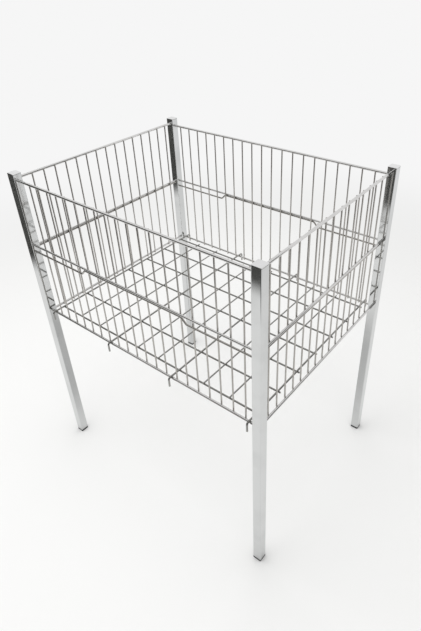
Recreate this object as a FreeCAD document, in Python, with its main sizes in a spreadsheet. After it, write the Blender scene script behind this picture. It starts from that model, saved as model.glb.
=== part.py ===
import FreeCAD, Part
import math
import os
import Sketcher

# Wire dump bin: four square tube posts, four welded wire panels between them, and a loose wire
# floor whose hooked wires hang over the two long bottom rails.
# Millimetres. X runs along the long sides, Y from front to back, Z up. The origin is on the ground
# under the middle of the bin. Front is -Y, right is +X.

SIZES = (
    ("bin_length", 800, "outside of the posts, along X"),
    ("bin_depth", 610, "outside of the posts, along Y"),
    ("bin_height", 960, "ground to the top of the caps"),
    ("post_size", 25, "square tube, outside"),
    ("post_wall", 1.5, "wall of the tube"),
    ("post_corner", 2.2, "outside corner radius of the tube"),
    ("cap_head", 2, "thickness of the cap that closes a post"),
    ("cap_stem", 12, "how far the cap reaches into the tube"),
    ("cap_bevel", 0.6, "bevel round the top of the cap"),
    ("foot_rim", 3, "rim of the foot, under the tube"),
    ("foot_bevel", 0.8, "bevel round the underside of the foot"),
    ("foot_stem", 18, "how far the foot reaches into the tube"),
    ("foot_core", 17, "square core that carries the foot's ribs"),
    ("foot_wall", 2, "wall of the hollow core"),
    ("rib_thick", 1.4, "one gripping rib"),
    ("rib_pitch", 5, "rib to rib"),
    ("rib_first", 4, "rim to the first rib"),
    ("rib_count", 3, "ribs on a foot"),
    ("plug_gap", 0.15, "play between a plug and the tube, each side"),
    ("rail_dia", 7, "top and bottom rails"),
    ("mid_dia", 6, "middle rails"),
    ("brace_dia", 5, "second wire under a middle rail"),
    ("upright_dia", 4, "vertical wires"),
    ("rail_inset", 15, "outside of a post to the axis of a rail"),
    ("long_drop", 22.5, "top of the posts to the axis of a long top rail"),
    ("short_drop", 15, "top of the posts to the axis of a short top rail"),
    ("bottom_level", 525, "height of the bottom rails' axis"),
    ("mid_level", 746, "height of the middle rails' axis"),
    ("weld_gap", 0.1, "between two wires that are welded together"),
    ("end_gap", 32, "face of a post to the first upright's axis"),
    ("long_count", 20, "uprights in a long panel"),
    ("short_count", 15, "uprights in a short panel"),
    ("wire_sides", 12, "flat sides that stand for the round of a thin wire, a multiple of 4"),
    ("wire_lap", 2.5, "how far an upright passes the axis of a rail"),
    ("brace_sink", 20, "axis of a middle rail down to the lowered ends of its brace"),
    ("brace_run", 372, "raised part of a long brace, with its two rises"),
    ("brace_rise", 20, "length over which the brace climbs, with its bends"),
    ("brace_bend", 7, "bend radius of the brace"),
    ("floor_dia", 5, "long and hooked floor wires"),
    ("cross_dia", 4, "plain cross wires of the floor"),
    ("floor_inset", 30, "axis of a long rail to the first long floor wire"),
    ("floor_count", 7, "long wires of the floor"),
    ("floor_lap", 3, "how far a floor wire passes the last wire it crosses"),
    ("inner_gap", 3, "gaps from the middle of a long panel to the one that an inner hooked wire takes"),
    ("inner_shift", 6, "middle of that gap outwards to the inner hooked wire"),
    ("bay_wires", 2, "plain cross wires between two hooked wires"),
    ("hook_gap", 0.3, "play between a hooked wire and the rail it rests on"),
    ("hook_bend", 6, "bend radius of a hook"),
    ("hook_margin", 0.5, "outside of a hook's leg to the plane of the posts' outer faces"),
    ("hook_drop", 20, "axis of the rail down to the tip of a hook"),
)

DOC = FreeCAD.newDocument("dump_bin")
SHEET = DOC.addObject("Spreadsheet::Sheet", "sizes")

# Formulas that several pieces share, all in terms of the sheet.
INNER_X = "(sizes.bin_length / 2 - sizes.post_size)"
INNER_Y = "(sizes.bin_depth / 2 - sizes.post_size)"
POST_X = "(sizes.bin_length / 2 - sizes.post_size / 2)"
POST_Y = "(sizes.bin_depth / 2 - sizes.post_size / 2)"
RAIL_X = "(sizes.bin_length / 2 - sizes.rail_inset)"
RAIL_Y = "(sizes.bin_depth / 2 - sizes.rail_inset)"
TUBE_BORE = "(sizes.post_size - 2 * sizes.post_wall)"
BORE_CORNER = "(sizes.post_corner - sizes.post_wall)"
PLUG_SIDE = "(sizes.post_size - 2 * sizes.post_wall - 2 * sizes.plug_gap)"
CORE_HOLLOW = "(sizes.foot_core - 2 * sizes.foot_wall)"
TUBE_TOP = "(sizes.bin_height - sizes.cap_head)"
LONG_TOP = "(sizes.bin_height - sizes.long_drop)"
SHORT_TOP = "(sizes.bin_height - sizes.short_drop)"
UPRIGHT_STEP = "(sizes.rail_dia / 2 + sizes.weld_gap + sizes.upright_dia / 2)"
LONG_PITCH = "((2 * %s - 2 * sizes.end_gap) / (sizes.long_count - 1))" % INNER_X
SHORT_PITCH = "((2 * %s - 2 * sizes.end_gap) / (sizes.short_count - 1))" % INNER_Y
BRACE_LOW = "(sizes.mid_level - sizes.brace_sink)"
BRACE_HIGH = "(sizes.mid_level - sizes.mid_dia / 2 - sizes.weld_gap - sizes.brace_dia / 2)"
HOOK_LEVEL = "(sizes.bottom_level + sizes.rail_dia / 2 + sizes.hook_gap + sizes.floor_dia / 2)"
HOOK_LEG = "(sizes.bin_depth / 2 - sizes.hook_margin - sizes.floor_dia / 2)"
HOOK_TIP = "(sizes.bottom_level - sizes.hook_drop)"
LONG_WIRE_LEVEL = "(%s - sizes.floor_dia - sizes.weld_gap)" % HOOK_LEVEL
CROSS_LEVEL = "(%s + sizes.floor_dia / 2 + sizes.weld_gap + sizes.cross_dia / 2)" % LONG_WIRE_LEVEL
FLOOR_EDGE = "(%s - sizes.floor_inset)" % RAIL_Y

# A hooked floor wire passes between two uprights: the outer ones in the middle of the gaps beside
# the posts, the inner ones in gaps nearer the middle of the panel, where an odd row has an upright
# and an even one a gap.
OUTER_HOOK = "(%s - sizes.end_gap / 2)" % INNER_X
INNER_GAP = "((sizes.inner_gap + mod(sizes.long_count; 2) / 2) * %s)" % LONG_PITCH
INNER_HOOK = "(%s + sizes.inner_shift)" % INNER_GAP

ALONG_X = FreeCAD.Rotation(FreeCAD.Vector(0, 1, 0), 90)
ALONG_Y = FreeCAD.Rotation(FreeCAD.Vector(1, 0, 0), -90)
UPWARDS = FreeCAD.Rotation()
QUARTERS = [FreeCAD.Rotation(FreeCAD.Vector(0, 0, 1), 90 * quarter) for quarter in range(4)]

SIDES_X = (("left", -1), ("right", 1))
SIDES_Y = (("front", -1), ("rear", 1))


# The sheet and the small tools that tie pieces to it

def fill_sheet():
    for row, (alias, value, note) in enumerate(SIZES, start=1):
        SHEET.set("A%d" % row, alias)
        SHEET.set("B%d" % row, str(value))
        SHEET.set("C%d" % row, note)
        SHEET.setAlias("B%d" % row, alias)
    DOC.recompute()


def value_of(formula):
    return float(SHEET.evalExpression(formula))


def bind(thing, formulas):
    for path, formula in formulas.items():
        thing.setExpression(path, formula)


def place(thing, x="0", y="0", z="0"):
    bind(thing, {"Placement.Base.x": x, "Placement.Base.y": y, "Placement.Base.z": z})


def on_side(side, distance):
    """The same distance from the middle, on the side that the sign gives."""
    return "%d * %s" % (side, distance)


def new_body(label):
    body = DOC.addObject("PartDesign::Body", label)
    body.Label = label
    return body


def new_sketch(body, name, plane, offset="0"):
    """A sketch on one of the body's own origin planes, moved along the plane's normal."""
    sketch = body.newObject("Sketcher::SketchObject", name)
    own_plane = next(part for part in body.Origin.OriginFeatures if part.Role == plane)
    sketch.AttachmentSupport = [(own_plane, "")]
    sketch.MapMode = "FlatFace"
    bind(sketch, {"AttachmentOffset.Base.z": offset})
    return sketch


def size(sketch, name, formula, kind, *where):
    """A named dimension of a sketch, tied to a formula."""
    number = sketch.addConstraint(Sketcher.Constraint(kind, *where, value_of(formula)))
    sketch.renameConstraint(number, name)
    sketch.setExpression(".Constraints." + name, formula)


def outline(sketch, corners):
    """Straight lines through the corners and back to the first one."""
    ends = corners[1:] + corners[:1]
    lines = [sketch.addGeometry(Part.LineSegment(start, end)) for start, end in zip(corners, ends)]
    for line, after in zip(lines, lines[1:] + lines[:1]):
        sketch.addConstraint(Sketcher.Constraint("Coincident", line, 2, after, 1))
    return lines


def fix_square(sketch, name, side, lines):
    """Squares up four lines and holds them evenly round the sketch's origin."""
    right, top, left, bottom = lines
    for line, way in ((right, "Vertical"), (left, "Vertical"), (top, "Horizontal"), (bottom, "Horizontal")):
        sketch.addConstraint(Sketcher.Constraint(way, line))
    size(sketch, name + "_width", side, "DistanceX", left, 1, right, 1)
    size(sketch, name + "_height", side, "DistanceY", bottom, 1, top, 1)
    size(sketch, name + "_right", "(%s) / 2" % side, "DistanceX", -1, 1, right, 1)
    size(sketch, name + "_top", "(%s) / 2" % side, "DistanceY", -1, 1, top, 1)


def rounded_square(sketch, name, side, corner):
    """A square round the sketch's origin with four equal corner arcs: line, arc, line, arc..."""
    half = value_of(side) / 2
    radius = value_of(corner)
    straight = half - radius
    first = sketch.GeometryCount
    for quarter, turn in enumerate(QUARTERS):
        start = turn.multVec(FreeCAD.Vector(half, -straight, 0))
        end = turn.multVec(FreeCAD.Vector(half, straight, 0))
        middle = turn.multVec(FreeCAD.Vector(straight, straight, 0))
        begin = quarter * math.pi / 2
        circle = Part.Circle(middle, FreeCAD.Vector(0, 0, 1), radius)
        sketch.addGeometry(Part.LineSegment(start, end))
        sketch.addGeometry(Part.ArcOfCircle(circle, begin, begin + math.pi / 2))
    right, top, left, bottom = (first + 2 * quarter for quarter in range(4))
    for line, after in ((right, top), (top, left), (left, bottom), (bottom, right)):
        sketch.addConstraint(Sketcher.Constraint("Tangent", line, 2, line + 1, 1))
        sketch.addConstraint(Sketcher.Constraint("Tangent", line + 1, 2, after, 1))
    for arc in (top + 1, left + 1, bottom + 1):
        sketch.addConstraint(Sketcher.Constraint("Equal", right + 1, arc))
    size(sketch, name + "_corner", corner, "Radius", right + 1)
    fix_square(sketch, name, side, (right, top, left, bottom))


def square(sketch, name, side):
    """A sharp-cornered square round the sketch's origin."""
    half = value_of(side) / 2
    lines = outline(sketch, [turn.multVec(FreeCAD.Vector(half, -half, 0)) for turn in QUARTERS])
    fix_square(sketch, name, side, lines)


def cut_square(sketch, name, side, corner):
    """A square round the sketch's origin with its corners cut straight across."""
    half = value_of(side) / 2
    straight = half - value_of(corner)
    ends = (FreeCAD.Vector(half, -straight, 0), FreeCAD.Vector(half, straight, 0))
    lines = outline(sketch, [turn.multVec(end) for turn in QUARTERS for end in ends])
    sides = lines[0::2]
    cuts = lines[1::2]
    for like in (sides, cuts):
        for line in like[1:]:
            sketch.addConstraint(Sketcher.Constraint("Equal", like[0], line))
    size(sketch, name + "_cut_across", corner, "DistanceX", cuts[0], 2, cuts[0], 1)
    size(sketch, name + "_cut_up", corner, "DistanceY", cuts[0], 1, cuts[0], 2)
    fix_square(sketch, name, side, sides)


def wire_section(sketch, diameter, x, y):
    """Equal flat sides with their corners on the wire's circle, the first level with the centre."""
    centre = FreeCAD.Vector(value_of(x), value_of(y), 0)
    radius = value_of(diameter) / 2
    sides = int(value_of("sizes.wire_sides"))
    circle = sketch.addGeometry(Part.Circle(centre, FreeCAD.Vector(0, 0, 1), radius), True)
    turns = [FreeCAD.Rotation(FreeCAD.Vector(0, 0, 1), 360 * number / sides) for number in range(sides)]
    lines = outline(sketch, [centre + turn.multVec(FreeCAD.Vector(radius, 0, 0)) for turn in turns])
    for line in lines:
        sketch.addConstraint(Sketcher.Constraint("PointOnObject", line, 1, circle))
    for line in lines[1:]:
        sketch.addConstraint(Sketcher.Constraint("Equal", lines[0], line))
    sketch.addConstraint(Sketcher.Constraint("Horizontal", circle, 3, lines[0], 1))
    size(sketch, "diameter", diameter, "Diameter", circle)
    size(sketch, "across", x, "DistanceX", -1, 1, circle, 3)
    size(sketch, "up", y, "DistanceY", -1, 1, circle, 3)


def pad(body, name, sketch, length, downwards=False):
    feature = body.newObject("PartDesign::Pad", name)
    feature.Profile = sketch
    feature.Reversed = downwards
    bind(feature, {"Length": length})
    return feature


def bevel_face(body, base, level, width):
    """Bevels the edges of the flat face that lies at one height."""
    DOC.recompute()
    height = value_of(level)
    flat = [
        "Edge%d" % number
        for number, edge in enumerate(base.Shape.Edges, start=1)
        if max(abs(edge.BoundBox.ZMin - height), abs(edge.BoundBox.ZMax - height)) < 1e-6
    ]
    feature = body.newObject("PartDesign::Chamfer", "Bevel")
    feature.Base = (base, flat)
    bind(feature, {"Size": width})
    return feature


def rod(label, diameter, length, way, x, y, z):
    """A straight round bar that starts at x, y, z and runs the way that the rotation turns it."""
    bar = DOC.addObject("Part::Cylinder", label)
    bar.Label = label
    bind(bar, {"Radius": diameter + " / 2", "Height": length})
    bar.Placement.Rotation = way
    place(bar, x, y, z)
    return bar


def straight_wire(label, diameter, length, way, x, y, z):
    """As a rod, with the flat sides that every thin wire has here."""
    wire = DOC.addObject("Part::Prism", label)
    wire.Label = label
    bind(wire, {"Polygon": "sizes.wire_sides", "Circumradius": diameter + " / 2", "Height": length})
    wire.Placement.Rotation = way
    place(wire, x, y, z)
    return wire


def group(label, wires):
    """Separate wires of one kind, kept together as one piece of the list."""
    bundle = DOC.addObject("Part::Compound", label)
    bundle.Label = label
    bundle.Links = wires
    return bundle


def spread(count, pitch):
    """Distances from the middle, as formulas, of evenly spaced wires."""
    return ["(%s * %s)" % (number - (count - 1) / 2, pitch) for number in range(count)]


def bent_wire(body, path, diameter, start_plane, start_offset, start_x, start_y):
    """Sweeps a wire's section along a path; the section stands where the path starts."""
    section = new_sketch(body, "Section", start_plane, start_offset)
    wire_section(section, diameter, start_x, start_y)
    DOC.recompute()
    pipe = body.newObject("PartDesign::AdditivePipe", "Wire")
    pipe.Profile = section
    pipe.Spine = path
    return pipe


# Posts, caps and feet

def post(label, x, y):
    """Square tube with rounded corners, standing on its foot; the bore's corners are cut plainly."""
    body = new_body(label)
    section = new_sketch(body, "Section", "XY_Plane")
    rounded_square(section, "outside", "sizes.post_size", "sizes.post_corner")
    cut_square(section, "bore", TUBE_BORE, BORE_CORNER)
    pad(body, "Tube", section, TUBE_TOP + " - sizes.foot_rim")
    place(body, x, y, "sizes.foot_rim")
    return body


def post_cap(label, x, y):
    """Plug with a flat head, flush with the tube all round and bevelled on top."""
    body = new_body(label)
    stem = new_sketch(body, "StemSection", "XY_Plane")
    cut_square(stem, "stem", PLUG_SIDE, BORE_CORNER)
    pad(body, "Stem", stem, "sizes.cap_stem", downwards=True)
    head = new_sketch(body, "HeadSection", "XY_Plane")
    rounded_square(head, "head", "sizes.post_size", "sizes.post_corner")
    plate = pad(body, "Head", head, "sizes.cap_head")
    bevel_face(body, plate, "sizes.cap_head", "sizes.cap_bevel")
    place(body, x, y, TUBE_TOP)
    return body


def post_foot(label, x, y):
    """Plastic plug: a rim under the tube, a hollow core inside it and ribs that grip the wall."""
    body = new_body(label)
    core = new_sketch(body, "CoreSection", "XY_Plane")
    square(core, "core", "sizes.foot_core")
    square(core, "hollow", CORE_HOLLOW)
    pad(body, "Core", core, "sizes.foot_stem")
    for number in range(int(value_of("sizes.rib_count"))):
        level = "sizes.rib_first + %d * sizes.rib_pitch" % number
        rib = new_sketch(body, "RibSection%d" % number, "XY_Plane", level)
        cut_square(rib, "rib", PLUG_SIDE, BORE_CORNER)
        square(rib, "hollow", CORE_HOLLOW)
        pad(body, "Rib%d" % number, rib, "sizes.rib_thick")
    rim = new_sketch(body, "RimSection", "XY_Plane")
    rounded_square(rim, "rim", "sizes.post_size", "sizes.post_corner")
    plate = pad(body, "Rim", rim, "sizes.foot_rim", downwards=True)
    bevel_face(body, plate, "-sizes.foot_rim", "sizes.foot_bevel")
    place(body, x, y, "sizes.foot_rim")
    return body


def corner_pieces():
    pieces = []
    for end, y_side in SIDES_Y:
        for hand, x_side in SIDES_X:
            corner = "%s_%s" % (end, hand)
            x = on_side(x_side, POST_X)
            y = on_side(y_side, POST_Y)
            pieces.append(post("post_" + corner, x, y))
            pieces.append(post_cap("cap_" + corner, x, y))
            pieces.append(post_foot("foot_" + corner, x, y))
    return pieces


# Side panels: rails butt against the posts, uprights are welded to the inner side of the rails

def long_rail(label, side, diameter, level):
    start = on_side(-1, INNER_X)
    return rod(label, diameter, "2 * " + INNER_X, ALONG_X, start, on_side(side, RAIL_Y), level)


def short_rail(label, side, diameter, level):
    start = on_side(-1, INNER_Y)
    return rod(label, diameter, "2 * " + INNER_Y, ALONG_Y, on_side(side, RAIL_X), start, level)


def short_brace(label, side):
    x = on_side(side, RAIL_X)
    start = on_side(-1, INNER_Y)
    return straight_wire(label, "sizes.brace_dia", "2 * " + INNER_Y, ALONG_Y, x, start, BRACE_HIGH)


def upright_row(label, count, pitch, top, side, along_x):
    """Vertical wires from just under the bottom rail's axis to just over the top rail's."""
    foot = "sizes.bottom_level - sizes.wire_lap"
    length = "%s + 2 * sizes.wire_lap - sizes.bottom_level" % top
    wires = []
    for number, distance in enumerate(spread(count, pitch), start=1):
        name = "%s_%02d" % (label, number)
        if along_x:
            x = distance
            y = on_side(side, "(%s - %s)" % (RAIL_Y, UPRIGHT_STEP))
        else:
            x = on_side(side, "(%s - %s)" % (RAIL_X, UPRIGHT_STEP))
            y = distance
        wires.append(straight_wire(name, "sizes.upright_dia", length, UPWARDS, x, y, foot))
    return group(label, wires)


def rounded_path(sketch, corners, bend):
    """Lines through the corners with equal tangent arcs at the bends: line, arc, line and so on."""
    radius = value_of(bend)
    upwards = FreeCAD.Vector(0, 0, 1)
    points = [FreeCAD.Vector(x, y, 0) for x, y in corners]
    start = points[0]
    joints = []
    for before, corner, after in zip(points, points[1:], points[2:]):
        arrive = (corner - before).normalize()
        leave = (after - corner).normalize()
        half_turn = arrive.getAngle(leave) / 2
        bend_start = corner - arrive * radius * math.tan(half_turn)
        bend_end = corner + leave * radius * math.tan(half_turn)
        centre = corner + (leave - arrive).normalize() * (radius / math.cos(half_turn))
        near, far = (1, 2) if arrive.cross(leave).z > 0 else (2, 1)
        angles = {near: bend_start - centre, far: bend_end - centre}
        first, last = (math.atan2(angles[end].y, angles[end].x) for end in (1, 2))
        line = sketch.addGeometry(Part.LineSegment(start, bend_start))
        arc = sketch.addGeometry(Part.ArcOfCircle(Part.Circle(centre, upwards, radius), first, last))
        joints += [(line, 2, arc, near), (arc, far, arc + 1, 1)]
        start = bend_end
    sketch.addGeometry(Part.LineSegment(start, points[-1]))
    for joint in joints:
        sketch.addConstraint(Sketcher.Constraint("Tangent", *joint))
    for arc in range(3, sketch.GeometryCount, 2):
        sketch.addConstraint(Sketcher.Constraint("Equal", 1, arc))
    size(sketch, "bend", bend, "Radius", 1)


def brace_path(body):
    """Low at both ends and raised under the middle rail in between, with four equal bends."""
    path = new_sketch(body, "Path", "XZ_Plane")
    end = value_of(INNER_X)
    low = value_of(BRACE_LOW)
    high = value_of(BRACE_HIGH)
    middle_of_rise = value_of("sizes.brace_run / 2 - sizes.brace_rise / 2")
    outer = middle_of_rise + (high - low) / 2
    inner = middle_of_rise - (high - low) / 2
    corners = [(-end, low), (-outer, low), (-inner, high), (inner, high), (outer, low), (end, low)]
    rounded_path(path, corners, "sizes.brace_bend")
    left, left_rise, raised, right_rise, right = range(0, 9, 2)
    for line in (left, raised, right):
        path.addConstraint(Sketcher.Constraint("Horizontal", line))
    size(path, "left_end", on_side(-1, INNER_X), "DistanceX", -1, 1, left, 1)
    size(path, "right_end", INNER_X, "DistanceX", -1, 1, right, 2)
    size(path, "left_low", BRACE_LOW, "DistanceY", -1, 1, left, 1)
    size(path, "right_low", BRACE_LOW, "DistanceY", -1, 1, right, 2)
    size(path, "high", BRACE_HIGH, "DistanceY", -1, 1, raised, 1)
    size(path, "left_rise", "-sizes.brace_run / 2", "DistanceX", -1, 1, left, 2)
    size(path, "right_rise", "sizes.brace_run / 2", "DistanceX", -1, 1, right, 1)
    size(path, "left_climb", "sizes.brace_rise", "DistanceX", left, 2, raised, 1)
    size(path, "right_climb", "sizes.brace_rise", "DistanceX", raised, 2, right, 1)
    return path


def long_brace(label, side):
    body = new_body(label)
    path = brace_path(body)
    bent_wire(body, path, "sizes.brace_dia", "YZ_Plane", on_side(-1, INNER_X), "0", BRACE_LOW)
    place(body, y=on_side(side, RAIL_Y))
    return body


def long_panel(end, side):
    count = int(value_of("sizes.long_count"))
    return [
        long_rail("top_rail_" + end, side, "sizes.rail_dia", LONG_TOP),
        long_rail("mid_rail_" + end, side, "sizes.mid_dia", "sizes.mid_level"),
        long_rail("bottom_rail_" + end, side, "sizes.rail_dia", "sizes.bottom_level"),
        long_brace("brace_wire_" + end, side),
        upright_row("uprights_" + end, count, LONG_PITCH, LONG_TOP, side, along_x=True),
    ]


def short_panel(hand, side):
    count = int(value_of("sizes.short_count"))
    return [
        short_rail("top_rail_" + hand, side, "sizes.rail_dia", SHORT_TOP),
        short_rail("mid_rail_" + hand, side, "sizes.mid_dia", "sizes.mid_level"),
        short_rail("bottom_rail_" + hand, side, "sizes.rail_dia", "sizes.bottom_level"),
        short_brace("brace_wire_" + hand, side),
        upright_row("uprights_" + hand, count, SHORT_PITCH, SHORT_TOP, side, along_x=False),
    ]


# Floor: long wires underneath, cross wires welded on top, four of them hooked over the rails

def hook_path(body):
    """Over both long bottom rails and down outside them, with a leg just inside the posts' faces."""
    path = new_sketch(body, "Path", "YZ_Plane")
    leg = value_of(HOOK_LEG)
    level = value_of(HOOK_LEVEL)
    tip = value_of(HOOK_TIP)
    rounded_path(path, [(-leg, tip), (-leg, level), (leg, level), (leg, tip)], "sizes.hook_bend")
    front, over, rear = range(0, 5, 2)
    for line, way in ((front, "Vertical"), (over, "Horizontal"), (rear, "Vertical")):
        path.addConstraint(Sketcher.Constraint(way, line))
    size(path, "level", HOOK_LEVEL, "DistanceY", -1, 1, over, 1)
    size(path, "front_leg", on_side(-1, HOOK_LEG), "DistanceX", -1, 1, front, 1)
    size(path, "rear_leg", HOOK_LEG, "DistanceX", -1, 1, rear, 2)
    size(path, "front_tip", HOOK_TIP, "DistanceY", -1, 1, front, 1)
    size(path, "rear_tip", HOOK_TIP, "DistanceY", -1, 1, rear, 2)
    return path


def hooked_wire(label, x):
    body = new_body(label)
    path = hook_path(body)
    bent_wire(body, path, "sizes.floor_dia", "XY_Plane", HOOK_TIP, "0", on_side(-1, HOOK_LEG))
    place(body, x=x)
    return body


def floor_long_wires():
    """Long wires from one outer hooked wire to the other, just under the cross wires."""
    overhang = "(sizes.floor_dia / 2 + sizes.floor_lap)"
    length = "2 * (%s + %s)" % (OUTER_HOOK, overhang)
    start = "-%s - %s" % (OUTER_HOOK, overhang)
    pitch = "(2 * %s / (sizes.floor_count - 1))" % FLOOR_EDGE
    wires = []
    for number, y in enumerate(spread(int(value_of("sizes.floor_count")), pitch), start=1):
        name = "floor_long_wire_%02d" % number
        wires.append(straight_wire(name, "sizes.floor_dia", length, ALONG_X, start, y, LONG_WIRE_LEVEL))
    return group("floor_long_wires", wires)


def floor_cross_wires():
    """Plain wires that divide the bays between the hooked wires evenly."""
    overhang = "(sizes.floor_dia / 2 + sizes.floor_lap)"
    length = "2 * (%s + %s)" % (FLOOR_EDGE, overhang)
    start = "-%s - %s" % (FLOOR_EDGE, overhang)
    hooks = [on_side(-1, OUTER_HOOK), on_side(-1, INNER_HOOK), on_side(1, INNER_HOOK), on_side(1, OUTER_HOOK)]
    spaces = int(value_of("sizes.bay_wires")) + 1
    wires = []
    for before, after in zip(hooks, hooks[1:]):
        for space in range(1, spaces):
            name = "floor_cross_wire_%02d" % (len(wires) + 1)
            x = "(%s * %d + %s * %d) / %d" % (before, spaces - space, after, space, spaces)
            wires.append(straight_wire(name, "sizes.cross_dia", length, ALONG_Y, x, start, CROSS_LEVEL))
    return group("floor_cross_wires", wires)


def floor_grid():
    return [
        hooked_wire("floor_hook_wire_far_left", on_side(-1, OUTER_HOOK)),
        hooked_wire("floor_hook_wire_left", on_side(-1, INNER_HOOK)),
        hooked_wire("floor_hook_wire_right", on_side(1, INNER_HOOK)),
        hooked_wire("floor_hook_wire_far_right", on_side(1, OUTER_HOOK)),
        floor_long_wires(),
        floor_cross_wires(),
    ]


# Checks and files

def check(pieces):
    """Stops if any object of the document failed or any piece is empty or broken."""
    DOC.recompute()
    for thing in DOC.Objects:
        if {"Invalid", "Error"} & set(thing.State):
            raise RuntimeError("failed: " + thing.Label)
    for piece in pieces:
        if piece.Shape.isNull() or not piece.Shape.isValid() or not piece.Shape.Solids:
            raise RuntimeError("no sound solid: " + piece.Label)


def main():
    fill_sheet()
    pieces = corner_pieces()
    for end, side in SIDES_Y:
        pieces += long_panel(end, side)
    for hand, side in SIDES_X:
        pieces += short_panel(hand, side)
    pieces += floor_grid()
    check(pieces)
    os.makedirs("parts", exist_ok=True)
    for piece in pieces:
        piece.Shape.exportStep("parts/%s.step" % piece.Label)
        box = piece.Shape.BoundBox
        print("%-28s %3d solids  %10.1f mm3  z %7.2f to %7.2f" % (
            piece.Label, len(piece.Shape.Solids), piece.Shape.Volume, box.ZMin, box.ZMax))


main()
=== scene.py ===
import bmesh
import bpy
import math
import random
from mathutils import Matrix, Vector


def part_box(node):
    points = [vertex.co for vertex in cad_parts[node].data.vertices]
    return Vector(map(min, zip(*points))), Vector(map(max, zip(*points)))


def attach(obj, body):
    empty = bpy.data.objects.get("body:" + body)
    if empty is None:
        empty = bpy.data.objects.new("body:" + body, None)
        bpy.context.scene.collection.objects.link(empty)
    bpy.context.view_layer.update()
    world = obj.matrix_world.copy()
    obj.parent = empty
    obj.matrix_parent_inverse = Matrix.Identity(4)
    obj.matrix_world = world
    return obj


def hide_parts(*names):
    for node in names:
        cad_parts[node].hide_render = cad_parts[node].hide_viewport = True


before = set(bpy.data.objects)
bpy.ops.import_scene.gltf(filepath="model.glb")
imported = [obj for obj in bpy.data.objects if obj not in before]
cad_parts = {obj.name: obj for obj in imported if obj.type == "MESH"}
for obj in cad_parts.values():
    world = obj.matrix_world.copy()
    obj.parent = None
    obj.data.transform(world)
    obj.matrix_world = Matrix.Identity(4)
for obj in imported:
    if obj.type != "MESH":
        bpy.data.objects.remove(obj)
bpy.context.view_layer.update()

# Wire dump bin: square chrome tube posts, four welded chrome wire panels and a loose wire floor.
# Metres. X runs along the long sides, Y from front to back, Z up, origin on the ground.

MM = 0.001

LONG_PANELS = ("front", "rear")
SHORT_PANELS = ("left", "right")
PANELS = LONG_PANELS + SHORT_PANELS
BRACE = "brace_wire_"            # second wire of a panel, under its middle rail
RAILS = ("top_rail_", "mid_rail_", "bottom_rail_", BRACE)
HOOKS = ("far_left", "left", "right", "far_right")

SAME_CORNER = 0.01 * MM          # a CAD mesh's corners that are nearer than this are one
WIRE_SIDES = 24
SHARP_TURN = math.radians(20)    # a wire's sides meet at less, its cut ends at more
WELD_TURN = math.radians(80)     # a nugget is smooth, a fillet meets its post at more
BURR = 0.35 * MM                 # rounding of a sheared wire's end
BURR_STEPS = 2
BEND_STEPS = 8
HOOK_BEND = 6 * MM
BRACE_BEND = 7 * MM
BRACE_RUN = 372 * MM             # raised part of a long brace, with its two ramps
BRACE_RAMP = 20 * MM             # length of each ramp along the rail, with its two bends
UPRIGHT_TRIM = 2.5 * MM          # the uprights' tops are ground down to the middle of the top rail
NUGGET_REACH = 1.7 * MM          # metal squeezed out of a cross weld, along the wires
NUGGET_SINK = 1.2 * MM           # and into each of them
NUGGET_UNEVEN = (0.88, 1.12)     # least and greatest share of the reach
NUGGET_DETAIL = 2
FILLET_LEG = 1.0 * MM            # weld metal in the corner between a rail's end and its post
FILLET_SINK = 0.05 * MM          # the fillet's thin end lies this far under the wire's surface
FILLET_UNEVEN = (0.85, 1.1)      # least and greatest share of the leg
FILLET_RIM = (0.95, 1.0)         # and of the radius on the post, at each point of the rim


# Materials

# Painted shade in the gaps under the tubes' caps and over their feet, with dirt over the feet
GAP_SHADE_AND_DIRT = "#1f1f20"
CAP_EDGE = 1.2 * MM              # painted shade under a tube's cap and over its foot, drawn a few times as wide as the gaps are, or it wouldn't show
FOOT_EDGE = 5.0 * MM             # a few times as wide as they are, or they wouldn't show
CAP_SHARE = 0.8                  # how far each edge takes the place of the plate's own colour
FOOT_SHARE = 0.95
EDGE_FADE = 0.6 * MM
SMEAR = 0.5 * MM                 # how unevenly the lower one ends
SMEAR_LENGTH = 5 * MM

HAZE_PATCH = 70 * MM             # size of the places where the plate is rubbed
HAZE_START = 0.45                # values of the noise between which the haze sets in
HAZE_END = 0.75
HAZE_ROUGHENS = 2                # how many times as rough the plate is in full haze
GRAIN_DEPTH = 0.02 * MM          # depth of the drawing lines in the steel
TUBE_STRETCH = (1, 1, 1 / 80)    # on the tubes they run upwards, 80 times as long as they are wide
SPARK_GRAIN = 0.8 * MM           # grain of the feet's mould, drawn several times as coarse and as
SPARK_DEPTH = 0.08 * MM          # deep as it is, or it wouldn't show
SCUFF = 9 * MM                   # size of the scuffs on the feet
SCUFF_START = 0.5                # values of the noise between which they set in
SCUFF_END = 0.8

COLOUR_A = 6                     # sockets of a Mix node: its two colours and its mixed colour,
COLOUR_B = 7                     # by number because each name stands for several of them
MIXED = 2


def linear(hex_colour):
    """An sRGB hex colour as the linear RGBA that shaders take."""
    channels = [int(hex_colour[i:i + 2], 16) / 255 for i in (1, 3, 5)]
    return [c / 12.92 if c <= 0.04045 else ((c + 0.055) / 1.055) ** 2.4 for c in channels] + [1]


def add(tree, kind, settings=None, links=None):
    """Adds a node; settings are its own properties or input values, links are sockets by input."""
    node = tree.nodes.new(kind)
    for key, value in (settings or {}).items():
        if isinstance(key, str) and hasattr(node, key):
            setattr(node, key, value)
        else:
            node.inputs[key].default_value = value
    for key, socket in (links or {}).items():
        tree.links.new(socket, node.inputs[key])
    return node


def new_material(name):
    material = bpy.data.materials.new(name)
    material.use_nodes = True
    tree = material.node_tree
    tree.nodes.clear()
    return material, tree


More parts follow.
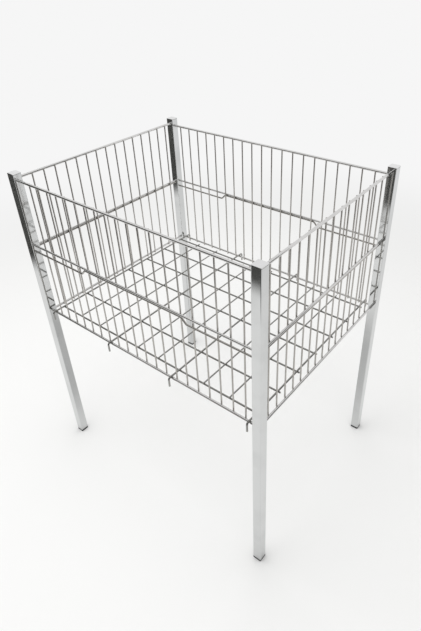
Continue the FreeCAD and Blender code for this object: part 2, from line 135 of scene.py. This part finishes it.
def paint_end_shade(tree, place, tint, node):
    """Darkens an upright tube at both ends: painted shade under its cap, painted shade and dirt over its
    foot.
    """
    low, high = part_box(node)
    height = add(tree, "ShaderNodeSeparateXYZ", links={0: place}).outputs["Z"]
    smears = add(tree, "ShaderNodeTexNoise", {"Scale": 1 / SMEAR_LENGTH, "Detail": 3}, {"Vector": place})
    uneven = add(tree, "ShaderNodeMath", {"operation": "MULTIPLY_ADD", 1: SMEAR},
                 {0: smears.outputs[0], 2: height})
    # painted shade and dirt over the foot, ending unevenly
    edge = low.z + FOOT_EDGE
    fade = {"From Min": edge, "From Max": edge - EDGE_FADE, "To Max": FOOT_SHARE}
    foot = add(tree, "ShaderNodeMapRange", fade, {"Value": uneven.outputs[0]})
    # painted shade under the cap
    edge = high.z - CAP_EDGE
    fade = {"From Min": edge, "From Max": edge + EDGE_FADE, "To Max": CAP_SHARE}
    cap = add(tree, "ShaderNodeMapRange", fade, {"Value": height})
    either = add(tree, "ShaderNodeMath", {"operation": "MAXIMUM"}, {0: foot.outputs[0], 1: cap.outputs[0]})
    return add(tree, "ShaderNodeMix", {"data_type": "RGBA", COLOUR_B: linear(GAP_SHADE_AND_DIRT)},
               {0: either.outputs[0], COLOUR_A: tint.outputs[MIXED]})


def chrome(name, colour, haze_colour, roughness, grain, stretch=(1, 1, 1), relief=0.05, shaded_tube=None):
    """Nickel-chrome plate: a clear, almost neutral mirror, with the drawing lines of the steel under
    it and a thin haze where hands and goods have rubbed it. The last argument names a tube whose
    ends are darkened with painted shade, under its cap and over its foot."""
    material, tree = new_material(name)
    place = add(tree, "ShaderNodeTexCoord").outputs["Object"]
    haze = add(tree, "ShaderNodeTexNoise", {"Scale": 1 / HAZE_PATCH, "Detail": 4}, {"Vector": place})
    worn = add(tree, "ShaderNodeMapRange", {"From Min": HAZE_START, "From Max": HAZE_END},
               {"Value": haze.outputs[0]})
    colours = {"data_type": "RGBA", COLOUR_A: linear(colour), COLOUR_B: linear(haze_colour)}
    tint = add(tree, "ShaderNodeMix", colours, {0: worn.outputs[0]})
    if shaded_tube:
        tint = paint_end_shade(tree, place, tint, shaded_tube)
    rough = add(tree, "ShaderNodeMapRange", {"To Min": roughness, "To Max": roughness * HAZE_ROUGHENS},
                {"Value": worn.outputs[0]})
    drawn = add(tree, "ShaderNodeMapping", {"Scale": stretch}, {"Vector": place})
    lines = add(tree, "ShaderNodeTexNoise", {"Scale": 1 / grain, "Detail": 2}, {"Vector": drawn.outputs[0]})
    bump = add(tree, "ShaderNodeBump", {"Strength": relief, "Distance": GRAIN_DEPTH},
               {"Height": lines.outputs[0]})
    shader = add(tree, "ShaderNodeBsdfPrincipled", {"Metallic": 1},
                 {"Base Color": tint.outputs[MIXED], "Roughness": rough.outputs[0],
                  "Normal": bump.outputs[0]})
    add(tree, "ShaderNodeOutputMaterial", links={"Surface": shader.outputs[0]})
    return material


def moulded_polyethylene():
    """Black moulded polyethylene: dull, with greyer scuffs and a fine spark-eroded grain."""
    material, tree = new_material("moulded_polyethylene")
    place = add(tree, "ShaderNodeTexCoord").outputs["Object"]
    grain = add(tree, "ShaderNodeTexNoise", {"Scale": 1 / SPARK_GRAIN, "Detail": 4}, {"Vector": place})
    scuffs = add(tree, "ShaderNodeTexNoise", {"Scale": 1 / SCUFF, "Detail": 3}, {"Vector": place})
    worn = add(tree, "ShaderNodeMapRange", {"From Min": SCUFF_START, "From Max": SCUFF_END},
               {"Value": scuffs.outputs[0]})
    colours = {"data_type": "RGBA", COLOUR_A: linear("#0f1011"), COLOUR_B: linear("#232427")}
    tint = add(tree, "ShaderNodeMix", colours, {0: worn.outputs[0]})
    bump = add(tree, "ShaderNodeBump", {"Strength": 0.35, "Distance": SPARK_DEPTH},
               {"Height": grain.outputs[0]})
    shader = add(tree, "ShaderNodeBsdfPrincipled", {"Roughness": 0.55},
                 {"Base Color": tint.outputs[MIXED], "Normal": bump.outputs[0]})
    add(tree, "ShaderNodeOutputMaterial", links={"Surface": shader.outputs[0]})
    return material


# The steel's drawing lines are too fine to show, so each grain here is drawn many times as coarse.
# All four tubes have their ends at the same heights, so one of them gives the heights of the
# painted shade at the ends of all four.
TUBE_CHROME = chrome("bright_chrome_tube", "#d5d6d6", "#cbcccc", roughness=0.05, grain=0.6 * MM,
                     stretch=TUBE_STRETCH, shaded_tube="post_front_left")
CAP_CHROME = chrome("bright_chrome_cap", "#e8e8e8", "#dedede", roughness=0.10, grain=1.2 * MM)
RAIL_CHROME = chrome("bright_chrome_rail", "#d9d8d7", "#cdcccb", roughness=0.09, grain=0.8 * MM)
# Painted shade: the wires' plate is coloured darker than the rails', for the dark goods that they
# reflect, and the floor's wires darker still, for the goods' shadow that they lie in.
SHADED_WIRE_CHROME = chrome("chrome_wire_painted_shade", "#b4b1ad", "#a6a39f", roughness=0.09, grain=0.8 * MM)
SHADED_FLOOR_CHROME = chrome("chrome_floor_wire_painted_shade", "#9a9996", "#8e8d8a", roughness=0.12, grain=0.8 * MM)
# Plate is rougher and a little duller over a weld, where the current burned it.
WELD_CHROME = chrome("plated_weld", "#b3b2af", "#9f9e9b", roughness=0.24, grain=0.5 * MM, relief=0.4)
FOOT_PLASTIC = moulded_polyethylene()


# Wires

def wires_in(node):
    """The lowest and highest corner of each separate wire of a CAD node."""
    form = bmesh.new()
    form.from_mesh(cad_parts[node].data)
    bmesh.ops.remove_doubles(form, verts=form.verts, dist=SAME_CORNER)
    seen = set()
    wires = []
    for first in form.verts:
        if first in seen:
            continue
        seen.add(first)
        wire = [first]
        for vert in wire:
            fresh = [edge.other_vert(vert) for edge in vert.link_edges]
            fresh = [other for other in fresh if other not in seen]
            seen.update(fresh)
            wire += fresh
        low = Vector(min(vert.co[axis] for vert in wire) for axis in range(3))
        high = Vector(max(vert.co[axis] for vert in wire) for axis in range(3))
        wires.append((low, high))
    form.free()
    return wires


def centre_line(low, high):
    """A straight wire's two end points and its diameter."""
    spans = high - low
    way = max(range(3), key=lambda axis: spans[axis])
    start = (low + high) / 2
    end = start.copy()
    start[way] = low[way]
    end[way] = high[way]
    return start, end, min(spans)


def turned_to(direction):
    """The rotation that takes Z to a direction."""
    return direction.to_track_quat("Z", "Y").to_matrix().to_4x4()


def shear_ends(form, faces):
    """Takes the burr off the flat ends of a wire."""
    rims = {edge for face in faces for edge in face.edges}
    bmesh.ops.bevel(form, geom=list(rims), affect="EDGES", offset=BURR, segments=BURR_STEPS, profile=0.5,
                    material=-1)


def straight_wire(form, start, end, diameter):
    middle = Matrix.Translation((start + end) / 2) @ turned_to(end - start)
    made = bmesh.ops.create_cone(form, cap_ends=True, segments=WIRE_SIDES, radius1=diameter / 2,
                                 radius2=diameter / 2, depth=(end - start).length, matrix=middle)
    ends = {face for vert in made["verts"] for face in vert.link_faces if len(face.verts) == WIRE_SIDES}
    shear_ends(form, ends)


def bent_wire(form, start, heading, diameter, moves):
    """Bends a round wire: each move is a straight length, or an angle, a radius and an axis."""
    first = bmesh.ops.create_circle(form, cap_ends=True, segments=WIRE_SIDES, radius=diameter / 2,
                                    matrix=Matrix.Translation(start) @ turned_to(heading))
    tip = first["verts"][0].link_faces[0]
    ring = list(tip.edges)
    place = start
    for move in moves:
        if isinstance(move, float):
            grown = bmesh.ops.extrude_edge_only(form, edges=ring)["geom"]
            verts = [part for part in grown if isinstance(part, bmesh.types.BMVert)]
            bmesh.ops.translate(form, verts=verts, vec=heading * move)
            place = place + heading * move
        else:
            angle, radius, axis = move
            centre = place + Vector(axis).cross(heading) * radius
            grown = bmesh.ops.spin(form, geom=ring, cent=centre, axis=axis, angle=angle,
                                   steps=BEND_STEPS, use_duplicate=False)["geom_last"]
            turn = Matrix.Rotation(angle, 3, axis)
            place = centre + turn @ (place - centre)
            heading = turn @ heading
        made = {part for part in grown if isinstance(part, bmesh.types.BMVert)}
        ring = [part for part in grown if isinstance(part, bmesh.types.BMEdge) and set(part.verts) <= made]
    end = bmesh.ops.contextual_create(form, geom=ring)["faces"][0]
    bmesh.ops.recalc_face_normals(form, faces=form.faces)
    shear_ends(form, [tip, end])


def new_object(form, name, material):
    """Puts a mesh under construction into the scene."""
    mesh = bpy.data.meshes.new(name)
    form.to_mesh(mesh)
    form.free()
    mesh.materials.append(material)
    thing = bpy.data.objects.new(name, mesh)
    bpy.context.scene.collection.objects.link(thing)
    return thing


def new_piece(form, name, body, material, replaces=None, sharp=SHARP_TURN):
    """Makes a mesh under construction a piece of the bin that rides on its body."""
    for face in form.faces:
        face.smooth = True
    for edge in form.edges:
        edge.smooth = edge.calc_face_angle(0) < sharp
    piece = new_object(form, name, material)
    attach(piece, body)
    if replaces:
        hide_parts(replaces)


def round_wires(node, body, material, trim=0):
    """Round wires in the places of a CAD node's many-sided ones."""
    form = bmesh.new()
    for low, high in wires_in(node):
        high.z -= trim
        straight_wire(form, *centre_line(low, high))
    new_piece(form, "round_" + node, body, material, replaces=node)


def round_brace(node):
    """Second wire of a long panel: low at both ends, raised in between by four equal bends."""
    low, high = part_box(node)
    diameter = high.y - low.y
    climb = high.z - low.z - diameter
    # A bend, a straight slope and a bend back go BRACE_RAMP along and climb upwards.
    slope = math.sqrt(BRACE_RAMP ** 2 + climb ** 2 - 4 * BRACE_BEND * climb)
    turn = math.atan2(climb - 2 * BRACE_BEND, BRACE_RAMP) + math.atan2(2 * BRACE_BEND, slope)
    side = (high.x - low.x - BRACE_RUN) / 2
    raised = BRACE_RUN - 2 * BRACE_RAMP
    up = (turn, BRACE_BEND, (0, -1, 0))
    down = (turn, BRACE_BEND, (0, 1, 0))
    form = bmesh.new()
    start = Vector((low.x, (low.y + high.y) / 2, low.z + diameter / 2))
    moves = [side, up, slope, down, raised, down, slope, up, side]
    bent_wire(form, start, Vector((1, 0, 0)), diameter, moves)
    new_piece(form, "round_" + node, "bin_frame", SHADED_WIRE_CHROME, replaces=node)


def round_hook(node):
    """Floor wire that passes over both long bottom rails and turns down outside them."""
    low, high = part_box(node)
    diameter = high.x - low.x
    leg = high.z - low.z - diameter / 2 - HOOK_BEND
    over = high.y - low.y - diameter - 2 * HOOK_BEND
    quarter = (math.pi / 2, HOOK_BEND, (-1, 0, 0))
    form = bmesh.new()
    start = Vector(((low.x + high.x) / 2, low.y + diameter / 2, low.z))
    bent_wire(form, start, Vector((0, 0, 1)), diameter, [leg, quarter, over, quarter, leg])
    new_piece(form, "round_" + node, "floor_grid", SHADED_FLOOR_CHROME, replaces=node)


def wires():
    for panel in PANELS:
        round_wires("uprights_" + panel, "bin_frame", SHADED_WIRE_CHROME, trim=UPRIGHT_TRIM)
    for panel in SHORT_PANELS:
        round_wires(BRACE + panel, "bin_frame", SHADED_WIRE_CHROME)
    for panel in LONG_PANELS:
        round_brace(BRACE + panel)
    for hook in HOOKS:
        round_hook("floor_hook_wire_" + hook)
    for node in ("floor_long_wires", "floor_cross_wires"):
        round_wires(node, "floor_grid", SHADED_FLOOR_CHROME)


# Welds

dice = random.Random(5)          # no two welds are quite alike


def nugget(form, first, second):
    """Metal squeezed out where two wires cross: a flat drop between their facing surfaces."""
    gap = second - first
    half = gap.length / 2
    sizes = [half + NUGGET_SINK if abs(part) > half else NUGGET_REACH * dice.uniform(*NUGGET_UNEVEN)
             for part in gap]
    place = Matrix.Translation((first + second) / 2) @ Matrix.Diagonal(sizes).to_4x4()
    bmesh.ops.create_icosphere(form, subdivisions=NUGGET_DETAIL, radius=1, matrix=place)


def fillet(form, place, way, radius):
    """Weld metal round the end of a wire, wide and uneven on the post and thin along the wire."""
    leg = FILLET_LEG * dice.uniform(*FILLET_UNEVEN)
    middle = Matrix.Translation(place + way * leg / 2) @ turned_to(way)
    verts = bmesh.ops.create_cone(form, cap_ends=True, segments=WIRE_SIDES, radius1=radius + leg,
                                  radius2=radius - FILLET_SINK, depth=leg, matrix=middle)["verts"]
    foot = [vert for vert in verts if (vert.co - place).dot(way) < leg / 2]
    for vert in foot:
        vert.co = place + (vert.co - place) * dice.uniform(*FILLET_RIM)


def axes_of(panel):
    """The axis that runs along a panel, and the level one across it."""
    return (0, 1) if panel in LONG_PANELS else (1, 0)


def level_of(rail, panel, distance):
    """Height of a rail's axis, at a distance from the panel's middle."""
    low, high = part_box(rail + panel)
    if rail != BRACE:
        return (low.z + high.z) / 2
    across = axes_of(panel)[1]
    radius = (high[across] - low[across]) / 2
    lowered = panel in LONG_PANELS and abs(distance) > BRACE_RUN / 2
    return low.z + radius if lowered else high.z - radius


def cross_welds(form, rail, panel):
    """A nugget wherever a rail crosses an upright."""
    along, across = axes_of(panel)
    low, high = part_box(rail + panel)
    axis = (low[across] + high[across]) / 2
    radius = (high[across] - low[across]) / 2
    for upright_low, upright_high in wires_in("uprights_" + panel):
        upright = (upright_low + upright_high) / 2
        upright.z = level_of(rail, panel, upright[along])
        thick = (upright_high[across] - upright_low[across]) / 2
        inwards = math.copysign(1, upright[across] - axis)
        first = upright.copy()
        second = upright.copy()
        first[across] = axis + inwards * radius
        second[across] = upright[across] - inwards * thick
        nugget(form, first, second)


def end_welds(form, rail, panel):
    """A fillet where each end of a rail meets its post."""
    along, across = axes_of(panel)
    low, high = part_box(rail + panel)
    radius = (high[across] - low[across]) / 2
    for end in (low, high):
        place = (low + high) / 2
        place[along] = end[along]
        place.z = level_of(rail, panel, end[along])
        way = Vector((0, 0, 0))
        way[along] = -math.copysign(1, place[along])
        fillet(form, place, way, radius)


def panel_welds(panel):
    form = bmesh.new()
    for rail in RAILS:
        cross_welds(form, rail, panel)
        end_welds(form, rail, panel)
    new_piece(form, "welds_" + panel, "bin_frame", WELD_CHROME, sharp=WELD_TURN)


def floor_welds():
    """Cross welds of the floor grid: each long wire under each wire that crosses it."""
    form = bmesh.new()
    crossing = wires_in("floor_cross_wires") + [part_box("floor_hook_wire_" + hook) for hook in HOOKS]
    for low, high in wires_in("floor_long_wires"):
        for cross_low, cross_high in crossing:
            diameter = cross_high.x - cross_low.x
            top = Vector(((cross_low.x + cross_high.x) / 2, (low.y + high.y) / 2, high.z))
            above = top.copy()
            above.z = cross_high.z - diameter
            nugget(form, top, above)
    new_piece(form, "welds_floor", "floor_grid", WELD_CHROME, sharp=WELD_TURN)


def welds():
    for panel in PANELS:
        panel_welds(panel)
    floor_welds()


# Finish of the CAD nodes, by the first word of their names

FINISHES = {"post": TUBE_CHROME, "cap": CAP_CHROME, "foot": FOOT_PLASTIC, "top": RAIL_CHROME,
            "mid": RAIL_CHROME, "bottom": RAIL_CHROME, "brace": SHADED_WIRE_CHROME, "uprights": SHADED_WIRE_CHROME,
            "floor": SHADED_FLOOR_CHROME}


def plate_frame():
    for node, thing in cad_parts.items():
        thing.data.materials.clear()
        thing.data.materials.append(FINISHES[node.split("_")[0]])


# Studio: white paper, dark flags and a painted shadow under the bin that only the chrome reflects, and one
# soft lamp

IMAGE_WIDTH = 421
IMAGE_HEIGHT = 631
FOCAL = 519.61                   # pixels
CENTRE_X = 238.78                # pixels, where the lens looks straight ahead
CENTRE_Y = 284.00
SENSOR = 36                      # millimetres, of the image's longer side
NEAREST = 0.05                   # the camera sees nothing closer than this
FURTHEST = 100                   # or further away than this
CAMERA_PLACE = (0.85054, -0.94258, 1.44399)
CAMERA_RIGHT = (0.79349619, 0.60822372, -0.02068118)
CAMERA_UP = (-0.32189468, 0.44830292, 0.83391145)
CAMERA_BACK = (0.51647615, -0.65504839, 0.55151064)

BACKDROP = "#f6f6f6"
PAPER_HALF = 14.0
PAPER_FIBRE = 3 * MM             # length of a fibre
FADE_START = 1.3                 # the paper's shading gives way to the backdrop's white
FADE_END = 2.8
# Place and height of each post that the dark flags are stretched between.
FLAG_POSTS = ((-3.28, 1.49, 1.7), (-1.05, -1.33, 1.7), (4.60, -1.33, 1.7), (2.45, 2.06, 3.2))
FLAG_FOOT = 0.12                 # the flags thin out over this height above the floor
FELT_NAP = 40 * MM               # drawn far coarser than it is, or it wouldn't show in the chrome
SHADOW_REACH = (0.56, 0.50)         # half the width and the depth of the painted shadow under the bin
SHADOW_EVEN = 0.35                  # share of that reach over which it is evenly dark
SHADOW_DEPTH = 0.34                 # share of the light that it stops there
SHADOW_LEVEL = 1 * MM
WORLD_LIGHT = 0.78
LAMP_PLACE = (-0.3, -0.3, 3.0)
LAMP_SIDE = 2.2
LAMP_POWER = 42                  # watts


def background_rays(tree):
    """1 for a ray that shows the background: to the camera, in metal or through glass; 0 for others."""
    ray = add(tree, "ShaderNodeLightPath")
    mirrored = add(tree, "ShaderNodeMath", {"operation": "MAXIMUM"},
                   {0: ray.outputs["Is Camera Ray"], 1: ray.outputs["Is Glossy Ray"]})
    return add(tree, "ShaderNodeMath", {"operation": "MAXIMUM"},
               {0: mirrored.outputs[0], 1: ray.outputs["Is Transmission Ray"]}).outputs[0]


def paper():
    """Matt white paper: near the bin it keeps the soft shadow, further out it is all white."""
    material, tree = new_material("studio_paper")
    place = add(tree, "ShaderNodeTexCoord").outputs["Object"]
    fibre = add(tree, "ShaderNodeTexNoise", {"Scale": 1 / PAPER_FIBRE, "Detail": 2}, {"Vector": place})
    colours = {"data_type": "RGBA", COLOUR_A: linear("#f2f2f1"), COLOUR_B: linear("#f5f5f4")}
    tint = add(tree, "ShaderNodeMix", colours, {0: fibre.outputs[0]})
    sheet = add(tree, "ShaderNodeBsdfDiffuse", links={"Color": tint.outputs[MIXED]})
    distance = add(tree, "ShaderNodeVectorMath", {"operation": "LENGTH"}, {0: place})
    fade = {"interpolation_type": "SMOOTHSTEP", "From Min": FADE_START, "From Max": FADE_END}
    far = add(tree, "ShaderNodeMapRange", fade, {"Value": distance.outputs["Value"]})
    share = add(tree, "ShaderNodeMath", {"operation": "MULTIPLY"},
                {0: far.outputs[0], 1: background_rays(tree)})
    white = add(tree, "ShaderNodeEmission", {"Color": linear(BACKDROP), "Strength": 1.0})
    shown = add(tree, "ShaderNodeMixShader",
                links={0: share.outputs[0], 1: sheet.outputs[0], 2: white.outputs[0]})
    add(tree, "ShaderNodeOutputMaterial", links={"Surface": shown.outputs[0]})
    return material


def felt():
    """Dark felt: matt, with a short nap that lies unevenly, thinning out at its foot."""
    material, tree = new_material("studio_felt")
    place = add(tree, "ShaderNodeTexCoord").outputs["Object"]
    nap = add(tree, "ShaderNodeTexNoise", {"Scale": 1 / FELT_NAP, "Detail": 3}, {"Vector": place})
    colours = {"data_type": "RGBA", COLOUR_A: linear("#4b4b49"), COLOUR_B: linear("#5f5f5c")}
    tint = add(tree, "ShaderNodeMix", colours, {0: nap.outputs[0]})
    cloth = add(tree, "ShaderNodeBsdfDiffuse", links={"Color": tint.outputs[MIXED]})
    height = add(tree, "ShaderNodeSeparateXYZ", links={0: place})
    thick = add(tree, "ShaderNodeMapRange", {"interpolation_type": "SMOOTHSTEP", "From Max": FLAG_FOOT},
                {"Value": height.outputs["Z"]})
    air = add(tree, "ShaderNodeBsdfTransparent")
    shown = add(tree, "ShaderNodeMixShader",
                links={0: thick.outputs[0], 1: air.outputs[0], 2: cloth.outputs[0]})
    add(tree, "ShaderNodeOutputMaterial", links={"Surface": shown.outputs[0]})
    return material


def goods_shadow_sheet():
    """Painted shadow: black, darkest in the middle and fading out towards its edge."""
    material, tree = new_material("studio_painted_shadow")
    place = add(tree, "ShaderNodeTexCoord").outputs["Object"]
    shaped = add(tree, "ShaderNodeMapping", {"Scale": (1 / SHADOW_REACH[0], 1 / SHADOW_REACH[1], 0)},
                 {"Vector": place})
    distance = add(tree, "ShaderNodeVectorMath", {"operation": "LENGTH"}, {0: shaped.outputs[0]})
    fade = {"interpolation_type": "SMOOTHSTEP", "From Min": SHADOW_EVEN, "To Min": SHADOW_DEPTH, "To Max": 0}
    darkness = add(tree, "ShaderNodeMapRange", fade, {"Value": distance.outputs["Value"]})
    shadow_tone = add(tree, "ShaderNodeBsdfDiffuse", {"Color": linear("#1a1a1a")})
    air = add(tree, "ShaderNodeBsdfTransparent")
    shown = add(tree, "ShaderNodeMixShader",
                links={0: darkness.outputs[0], 1: air.outputs[0], 2: shadow_tone.outputs[0]})
    add(tree, "ShaderNodeOutputMaterial", links={"Surface": shown.outputs[0]})
    return material


def only_reflected(thing):
    """Leaves a thing of the studio to be seen in reflections alone."""
    for kind in ("camera", "diffuse", "shadow", "transmission"):
        setattr(thing, "visible_" + kind, False)


def studio_floor():
    form = bmesh.new()
    bmesh.ops.create_grid(form, x_segments=1, y_segments=1, size=PAPER_HALF)
    new_object(form, "studio_floor", paper())


def dark_flags():
    """Flags that stand on the floor round the bin and make the dark bands in the chrome."""
    form = bmesh.new()
    for (x, y, top), (next_x, next_y, next_top) in zip(FLAG_POSTS, FLAG_POSTS[1:]):
        corners = ((x, y, 0), (next_x, next_y, 0), (next_x, next_y, next_top), (x, y, top))
        verts = [bmesh.ops.create_vert(form, co=corner)["vert"][0] for corner in corners]
        bmesh.ops.contextual_create(form, geom=verts)
    flags = new_object(form, "dark_flags", felt())
    only_reflected(flags)


def painted_goods_shadow():
    """Painted shadow on the floor under the bin, for the shade that a full bin casts there; the legs reflect
    it.
    """
    form = bmesh.new()
    bmesh.ops.create_grid(form, x_segments=1, y_segments=1, size=max(SHADOW_REACH),
                          matrix=Matrix.Translation((0, 0, SHADOW_LEVEL)))
    shade = new_object(form, "painted_goods_shadow", goods_shadow_sheet())
    only_reflected(shade)


def world_light():
    """Plain soft light from all round; the camera and reflections see it white."""
    world = bpy.data.worlds.new("studio")
    world.use_nodes = True
    tree = world.node_tree
    tree.nodes.clear()
    strength = add(tree, "ShaderNodeMapRange", {"To Min": WORLD_LIGHT, "To Max": 1.0},
                   {"Value": background_rays(tree)})
    light = add(tree, "ShaderNodeBackground", {"Color": linear(BACKDROP)}, {"Strength": strength.outputs[0]})
    add(tree, "ShaderNodeOutputWorld", links={"Surface": light.outputs[0]})
    bpy.context.scene.world = world


def softbox():
    """Soft lamp overhead; reflections don't see it, because its edge would make ticks on the rails."""
    light = bpy.data.lights.new("overhead_softbox", "AREA")
    light.shape = "SQUARE"
    light.size = LAMP_SIDE
    light.energy = LAMP_POWER
    lamp = bpy.data.objects.new("overhead_softbox", light)
    lamp.location = LAMP_PLACE
    lamp.rotation_euler = (-Vector(LAMP_PLACE)).to_track_quat("-Z", "Y").to_euler()
    lamp.visible_glossy = False
    bpy.context.scene.collection.objects.link(lamp)


def make_camera():
    """The lens is given in pixels of the image, whose long side is its height."""
    data = bpy.data.cameras.new("camera")
    data.sensor_fit = "AUTO"
    data.sensor_width = SENSOR
    data.lens = FOCAL * SENSOR / IMAGE_HEIGHT
    data.shift_x = (IMAGE_WIDTH / 2 - CENTRE_X) / IMAGE_HEIGHT
    data.shift_y = (CENTRE_Y - IMAGE_HEIGHT / 2) / IMAGE_HEIGHT
    data.clip_start = NEAREST
    data.clip_end = FURTHEST
    camera = bpy.data.objects.new("camera", data)
    axes = Matrix((CAMERA_RIGHT, CAMERA_UP, CAMERA_BACK)).transposed()
    camera.matrix_world = Matrix.Translation(CAMERA_PLACE) @ axes.to_4x4()
    bpy.context.scene.collection.objects.link(camera)
    bpy.context.scene.camera = camera


plate_frame()
wires()
welds()
studio_floor()
dark_flags()
painted_goods_shadow()
world_light()
softbox()
make_camera()

bpy.context.scene.view_settings.view_transform = "Standard"
